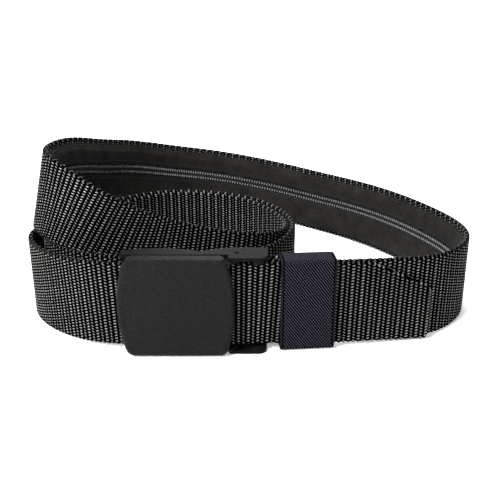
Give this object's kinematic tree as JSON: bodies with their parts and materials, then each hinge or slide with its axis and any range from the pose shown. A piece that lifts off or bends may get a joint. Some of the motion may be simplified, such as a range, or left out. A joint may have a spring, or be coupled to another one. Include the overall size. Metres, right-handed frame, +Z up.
{
  "type": "money belt",
  "caption": "Webbing waist belt with a hidden zipped pocket on its inner face, a clamp buckle with a hinged cover and an elastic keeper, buckled and wound into a standing coil",
  "frame": {"origin": "centre of the bounding box at its base, on the surface the belt stands on", "axes": "+Z up; +X along the front of the buckle towards the tail; -Y the side the buckle's cover faces"},
  "size_m": [0.21, 0.1769, 0.0762],
  "materials": {
    "webbing": "matt black polyester weave",
    "thread": "black sewing thread",
    "frame_plastic": "smooth black moulding",
    "cover_plastic": "grained charcoal moulding",
    "pin_steel": "dull steel",
    "elastic": "black twill elastic",
    "lining": "black plain-weave cloth",
    "tape": "black zip tape",
    "coil": "glossy black nylon coil",
    "zip_metal": "black enamel"
  },
  "bodies": {
    "belt": {"webbing_strap": "webbing", "fold_stitching": "thread", "buckle_frame": "frame_plastic", "pivot_pin": "pin_steel", "pocket_lining_upper": "lining", "pocket_lining_lower": "lining", "zipper_tape_upper": "tape", "zipper_tape_lower": "tape", "zipper_coil_upper": "coil", "zipper_coil_lower": "coil", "zipper_bottom_stop": "zip_metal", "zipper_top_stops": "zip_metal", "hem_stitching_upper": "thread", "hem_stitching_lower": "thread", "zip_stitching_upper": "thread", "zip_stitching_lower": "thread"},
    "lever": {"buckle_lever": "cover_plastic"},
    "keeper": {"elastic_keeper": "elastic", "keeper_lap": "elastic", "keeper_stitching": "thread"},
    "slider": {"zipper_slider": "zip_metal", "slider_bridge": "zip_metal"},
    "pull": {"pull_tab": "zip_metal"}
  },
  "joints": [
    {"name": "lever_hinge", "type": "hinge", "parent": "belt", "child": "lever", "pos_m": [-0.0054, -0.0793, 0.022], "axis": [0, 0, 1], "range_deg": [0, 60]},
    {"name": "keeper_slide", "type": "slide", "parent": "belt", "child": "keeper", "axis": [0.996, 0.0896, 0], "range_m": [0, 0.006]},
    {"name": "zip_slide", "type": "slide", "parent": "belt", "child": "slider", "axis": [0.9871, 0.1575, -0.0294], "range_m": [-0.006, 0.002]},
    {"name": "pull_hinge", "type": "hinge", "parent": "slider", "child": "pull", "pos_m": [0.05912, -0.06536, 0.02244], "axis": [0.029, 0.0046, 0.9996], "range_deg": [0, 150]}
  ]
}
